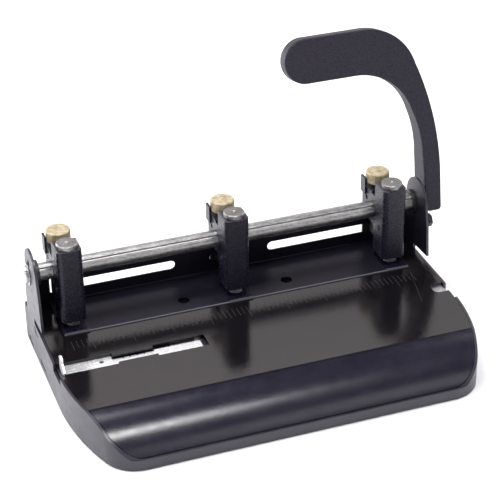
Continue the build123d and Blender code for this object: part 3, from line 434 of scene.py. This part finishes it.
ticks = []
for count in range(-SCALE_HALF_COUNT, SCALE_HALF_COUNT + 1):
    x = count * EIGHTH
    length = TICK_LENGTHS[count % len(TICK_LENGTHS)]
    ticks.append(((x, SCALE_REAR_Y), (x, SCALE_REAR_Y - length), TICK_WIDTH))
print_bars("table_scale", ticks)

DASH_START = Vector((0.1148, -0.0188))
DASH_END = Vector((0.1069, -0.0548))
DASHES = 12
DASH_SHARE = 0.62
dashes = []
for count in range(DASHES):
    start = DASH_START.lerp(DASH_END, count / DASHES)
    stop = DASH_START.lerp(DASH_END, (count + DASH_SHARE) / DASHES)
    dashes.append((tuple(start), tuple(stop), TICK_WIDTH))
print_bars("table_guide_line", dashes)

# ---------------------------------------------------------------- camera, floor and light
YAW = math.radians(19.175)
PITCH = math.radians(30.70)
ROLL = math.radians(-0.874)
EYE = Vector((-0.2920, -0.8693, 0.6020))
FOCAL_PIXELS = 1677.47
FRAME_PIXELS = 500
SENSOR_MM = 36
FLOOR_HALF = 6.0
# the backdrop's light from level up to straight overhead, then the viewer's side and where it gives way
WORLD_BANDS = (
    (0.0, (1.3, 1.24, 1.25)), (0.40, (0.95, 0.90, 0.91)), (0.52, (0.95, 0.90, 0.91)),
    (0.60, (1.6, 1.49, 1.50)), (0.63, (1.6, 1.49, 1.50)), (0.68, (0.07, 0.065, 0.11)),
    (0.90, (0.07, 0.065, 0.11)), (0.94, (0.26, 0.25, 0.34)), (1.0, (0.26, 0.25, 0.34)),
)
WORLD_FRONT = (0.16, 0.155, 0.2)
FRONT_END_Y = -0.25
BACK_START_Y = 0.15
WORLD_STRENGTH = 1.0


def photo_camera():
    """The camera at the photograph's viewing angle."""
    cy, sy, cp, sp = math.cos(YAW), math.sin(YAW), math.cos(PITCH), math.sin(PITCH)
    right = Vector((cy, -sy, 0))
    down = Vector((-sy * sp, -cy * sp, -cp))
    forward = Vector((sy * cp, cy * cp, -sp))
    turned_right = math.cos(ROLL) * right - math.sin(ROLL) * down
    turned_down = math.sin(ROLL) * right + math.cos(ROLL) * down
    data = bpy.data.cameras.new("camera")
    data.sensor_width = SENSOR_MM
    data.lens = FOCAL_PIXELS / FRAME_PIXELS * SENSOR_MM
    data.clip_start = 0.05
    data.clip_end = 50
    camera = bpy.data.objects.new("camera", data)
    turn = Matrix((turned_right, -turned_down, -forward)).transposed()
    camera.matrix_world = Matrix.Translation(EYE) @ turn.to_4x4()
    bpy.context.collection.objects.link(camera)
    bpy.context.scene.camera = camera


def add_floor():
    """A plain pale floor, far wider than the picture."""
    mesh = bpy.data.meshes.new("floor")
    half = FLOOR_HALF
    corners = [(-half, -half, 0), (half, -half, 0), (half, half, 0), (-half, half, 0)]
    mesh.from_pydata(corners, [], [(0, 1, 2, 3)])
    floor = bpy.data.objects.new("floor", mesh)
    bpy.context.collection.objects.link(floor)
    mat = Mat("floor_white")
    mat.colour(mat.ramp(mat.noise(3, 2, 0.5), ((0.3, (0.93, 0.93, 0.93)), (0.7, (0.95, 0.95, 0.95)))))
    mat.set(Roughness=0.8)
    floor.data.materials.append(mat.material)


def add_light(name, place, target, size, power, colour=(1, 1, 1)):
    """A rectangular softbox that faces a target."""
    data = bpy.data.lights.new(name, "AREA")
    data.shape = "RECTANGLE"
    data.size, data.size_y = size
    data.energy = power
    data.color = colour
    light = bpy.data.objects.new(name, data)
    light.location = place
    direction = Vector(target) - Vector(place)
    light.rotation_euler = direction.to_track_quat("-Z", "Y").to_euler()
    bpy.context.collection.objects.link(light)


def add_world():
    """A studio with a bright backdrop, dim above it and on the viewer's side."""
    world = bpy.data.worlds.new("studio")
    bpy.context.scene.world = world
    world.use_nodes = True
    tree = world.node_tree
    background = tree.nodes["Background"]
    coords = tree.nodes.new("ShaderNodeTexCoord")
    split = tree.nodes.new("ShaderNodeSeparateXYZ")
    ramp = tree.nodes.new("ShaderNodeValToRGB")
    tree.links.new(coords.outputs["Generated"], split.inputs["Vector"])
    tree.links.new(split.outputs["Z"], ramp.inputs["Fac"])
    front = tree.nodes.new("ShaderNodeMapRange")
    ends = (("From Min", FRONT_END_Y), ("From Max", BACK_START_Y), ("To Min", 0.0), ("To Max", 1.0))
    for socket, value in ends:
        front.inputs[socket].default_value = value
    tree.links.new(split.outputs["Y"], front.inputs["Value"])
    blend = tree.nodes.new("ShaderNodeMix")
    blend.data_type = "RGBA"
    blend.inputs[6].default_value = WORLD_FRONT + (1,)
    tree.links.new(front.outputs["Result"], blend.inputs["Factor"])
    tree.links.new(ramp.outputs["Color"], blend.inputs[7])
    tree.links.new(blend.outputs[2], background.inputs["Color"])
    elements = ramp.color_ramp.elements
    while len(elements) > 1:
        elements.remove(elements[-1])
    elements[0].position, elements[0].color = WORLD_BANDS[0][0], WORLD_BANDS[0][1] + (1,)
    for height, colour in WORLD_BANDS[1:]:
        elements.new(height).color = colour + (1,)
    background.inputs["Strength"].default_value = WORLD_STRENGTH


bpy.context.scene.view_settings.view_transform = "Standard"
photo_camera()
add_floor()
add_world()
add_light("key", (-0.9, -0.4, 1.3), (0, 0, 0.05), (0.9, 0.9), 12)
add_light("top", (-0.35, 0.45, 1.9), (-0.1, 0.1, 0.0), (1.3, 0.5), 20, (0.94, 0.95, 1.0))
add_light("fill", (0.6, -1.4, 1.0), (0, 0, 0.05), (0.8, 0.5), 2)
add_light("rear_left", (-1.2, 1.0, 0.35), (0, 0, 0.05), (0.9, 0.5), 20)
add_light("crown", (0.10, -0.55, 1.35), (-0.08, -0.1, 0.02), (0.4, 0.2), 8.0)
add_light("floor_right", (1.1, 0.3, 0.9), (0.35, 0.0, 0.0), (0.8, 0.8), 6)
add_light("low_front", (-0.35, -1.6, 0.5), (0, 0, 0.03), (1.0, 0.16), 2.5)
